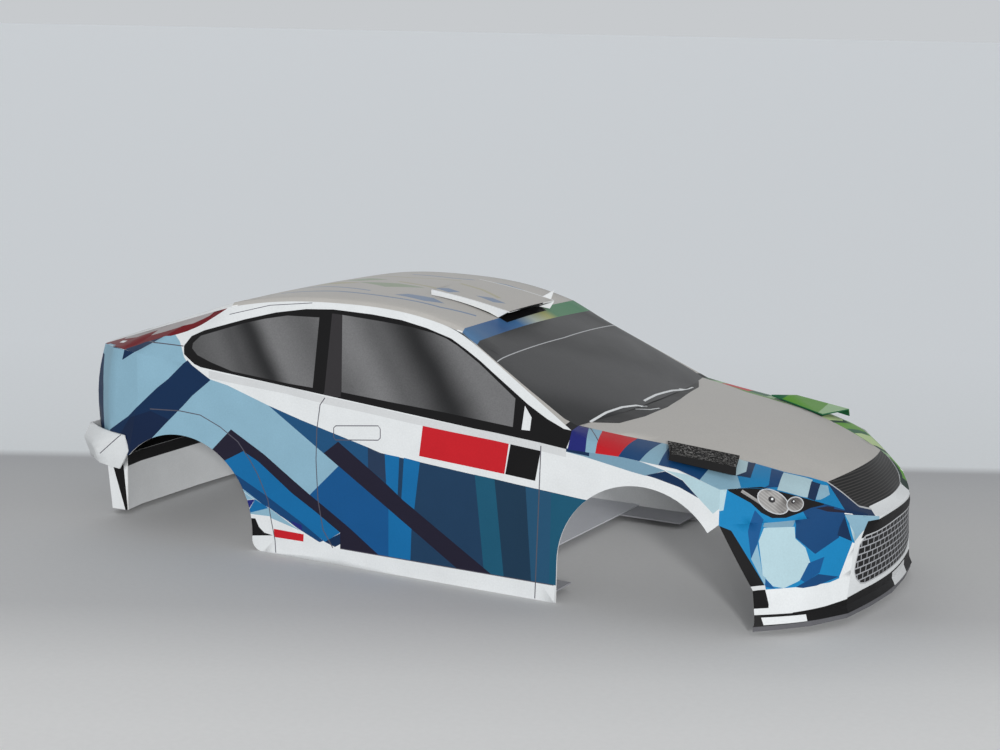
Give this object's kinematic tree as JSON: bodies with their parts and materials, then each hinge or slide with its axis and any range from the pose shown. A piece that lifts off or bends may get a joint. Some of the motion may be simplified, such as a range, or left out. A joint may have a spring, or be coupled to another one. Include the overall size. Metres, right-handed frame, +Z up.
{
  "type": "card model of a rally car body shell, about 1:24",
  "caption": "Glued printed-card model of a rally hatchback: a hollow body shell on its sills, with open wheel arches, printed windows, a roof scoop and no wheels.",
  "frame": {"origin": "on the table under the middle of the shell's outer box", "axes": "+X to the nose, +Y to the car's left side, +Z up"},
  "size_m": [0.183, 0.075, 0.056],
  "materials": {
    "printed_card": "matt ink-printed card, white with blue facets, fine print grain and pale cut edges",
    "window_print": "card printed as dark glass with black frames, noisy grey gradients, faint sheen",
    "black_card": "card printed solid black, slightly glossy toner",
    "plain_card": "unprinted white card with soft folds"
  },
  "bodies": {
    "root": {"roof": "printed_card", "tailgate": "printed_card", "tail_panel": "printed_card", "bonnet": "printed_card", "nose_panel": "printed_card", "bumper_front": "printed_card", "scoop_top": "printed_card", "side_right": "printed_card", "side_left": "printed_card", "rear_corner_right": "printed_card", "rear_corner_left": "printed_card", "fender_top_right": "printed_card", "fender_top_left": "printed_card", "headlight_right": "printed_card", "headlight_left": "printed_card", "bumper_corner_right": "printed_card", "bumper_corner_left": "printed_card", "windscreen": "window_print", "window_band_right": "window_print", "window_band_left": "window_print", "splitter_front": "black_card", "splitter_right": "black_card", "splitter_left": "black_card", "vent_box_right": "black_card", "vent_box_left": "black_card", "scoop_wall_right": "plain_card", "scoop_wall_left": "plain_card", "rear_bumper_middle": "plain_card", "rear_bumper_right": "plain_card", "rear_bumper_left": "plain_card", "rear_valance": "plain_card", "rear_valance_end_right": "plain_card", "rear_valance_end_left": "plain_card", "rear_inner_wall": "plain_card", "sill_flap_right": "plain_card", "sill_flap_left": "plain_card", "floor_plate": "plain_card"}
  },
  "joints": []
}
